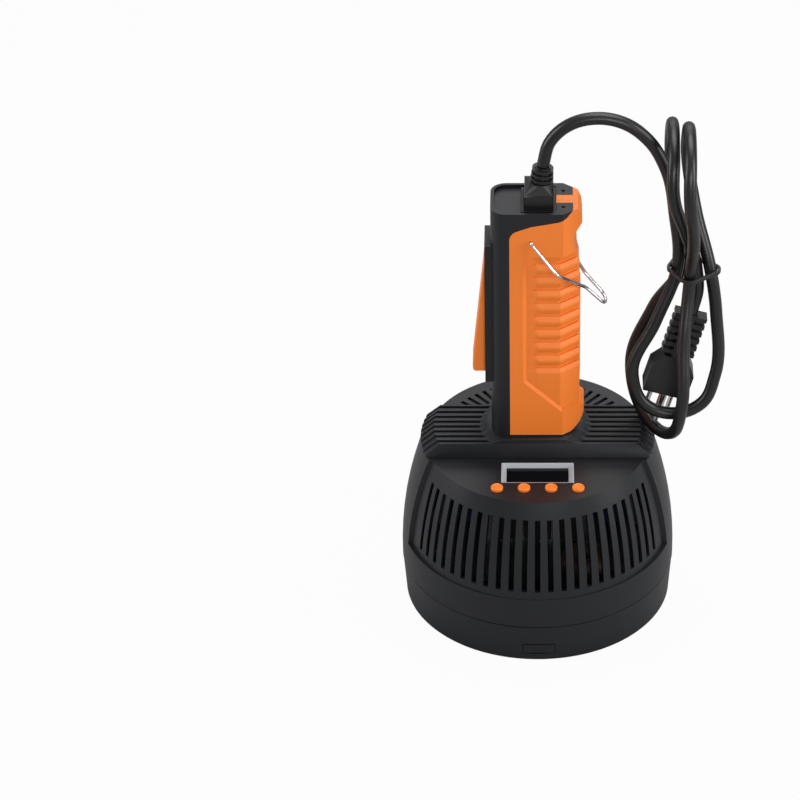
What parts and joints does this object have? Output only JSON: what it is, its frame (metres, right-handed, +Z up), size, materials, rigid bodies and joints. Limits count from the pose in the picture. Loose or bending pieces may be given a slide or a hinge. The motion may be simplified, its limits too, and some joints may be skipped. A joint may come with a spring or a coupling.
{
  "type": "induction cap sealer",
  "caption": "Hand-held induction cap sealer: domed head with side grilles and a button panel, upright ribbed grip with trigger and hanging bail, mains cord tied in a hank.",
  "frame": {"origin": "centre of the base ring's foot, on the table", "axes": "+Z up along the handle, control panel towards -Y, trigger towards -X, palm side of the grip towards +X"},
  "size_m": [0.1891, 0.162, 0.3235],
  "materials": {
    "black_shell": "fine-grained charcoal moulding",
    "orange_grip": "satin soft-touch moulding",
    "orange_plastic": "satin",
    "dark_plastic": "satin black",
    "cord_rubber": "satin black",
    "tie_plastic": "satin black",
    "pale_plastic": "heat-proof, matt",
    "bezel_plastic": "light grey",
    "screen_plastic": "clear black",
    "copper": "enamelled wire",
    "ferrite": "sintered, matt",
    "board": "coated board",
    "aluminium": "extruded",
    "blue_sleeve": "printed sleeve",
    "chrome_wire": "bright wire",
    "steel": "zinc plated",
    "plug_brass": "nickel plated"
  },
  "bodies": {
    "sealer": {"upper_housing": "black_shell", "base_ring": "black_shell", "sealing_plate": "pale_plastic", "coil_former": "pale_plastic", "induction_coil": "copper", "ferrite_bars": "ferrite", "power_board": "board", "heat_sink": "aluminium", "power_transistors": "dark_plastic", "capacitors": "blue_sleeve", "choke": "copper", "fan_frame": "dark_plastic", "display_board": "board", "display_bezel": "bezel_plastic", "display_screen": "screen_plastic", "tact_switches": "dark_plastic", "saddle": "black_shell", "handle_front": "black_shell", "handle_rear": "black_shell", "grip": "orange_grip", "trigger_rail": "dark_plastic", "trigger_pin": "steel", "trigger_spring": "steel", "micro_switch": "dark_plastic", "mains_inlet": "dark_plastic", "base_screws": "steel", "board_screws": "steel", "fan_screws": "steel", "saddle_screws": "steel", "handle_screws": "steel", "cord_connector": "cord_rubber", "power_cord": "cord_rubber", "cord_tie": "tie_plastic", "plug_body": "cord_rubber", "plug_pins": "plug_brass"},
    "fan": {"fan_rotor": "dark_plastic"},
    "trigger": {"trigger": "orange_plastic"},
    "bail": {"wire_bail": "chrome_wire"},
    "button_1": {"button_1": "orange_plastic"},
    "button_2": {"button_2": "orange_plastic"},
    "button_3": {"button_3": "orange_plastic"},
    "button_4": {"button_4": "orange_plastic"}
  },
  "joints": [
    {"name": "fan_spin", "type": "hinge", "parent": "sealer", "child": "fan", "pos_m": [0, 0.012, 0.0885], "axis": [0, 0, 1], "continuous": true},
    {"name": "trigger_pull", "type": "hinge", "parent": "sealer", "child": "trigger", "pos_m": [-0.0255, 0, 0.236], "axis": [0, -1, 0], "range_deg": [0, 4.2], "stiffness_Nm_per_rad": 2, "springref_deg": -3.44},
    {"name": "bail_swing", "type": "hinge", "parent": "sealer", "child": "bail", "pos_m": [-0.0035, 0, 0.2496], "axis": [0, -1, 0], "range_deg": [0, 105]},
    {"name": "button_1_press", "type": "slide", "parent": "sealer", "child": "button_1", "axis": [0, 0, -1], "range_m": [0, 0.0006], "stiffness_N_per_m": 1500, "springref_m": -0.0004},
    {"name": "button_2_press", "type": "slide", "parent": "sealer", "child": "button_2", "axis": [0, 0, -1], "range_m": [0, 0.0006], "stiffness_N_per_m": 1500, "springref_m": -0.0004},
    {"name": "button_3_press", "type": "slide", "parent": "sealer", "child": "button_3", "axis": [0, 0, -1], "range_m": [0, 0.0006], "stiffness_N_per_m": 1500, "springref_m": -0.0004},
    {"name": "button_4_press", "type": "slide", "parent": "sealer", "child": "button_4", "axis": [0, 0, -1], "range_m": [0, 0.0006], "stiffness_N_per_m": 1500, "springref_m": -0.0004}
  ]
}
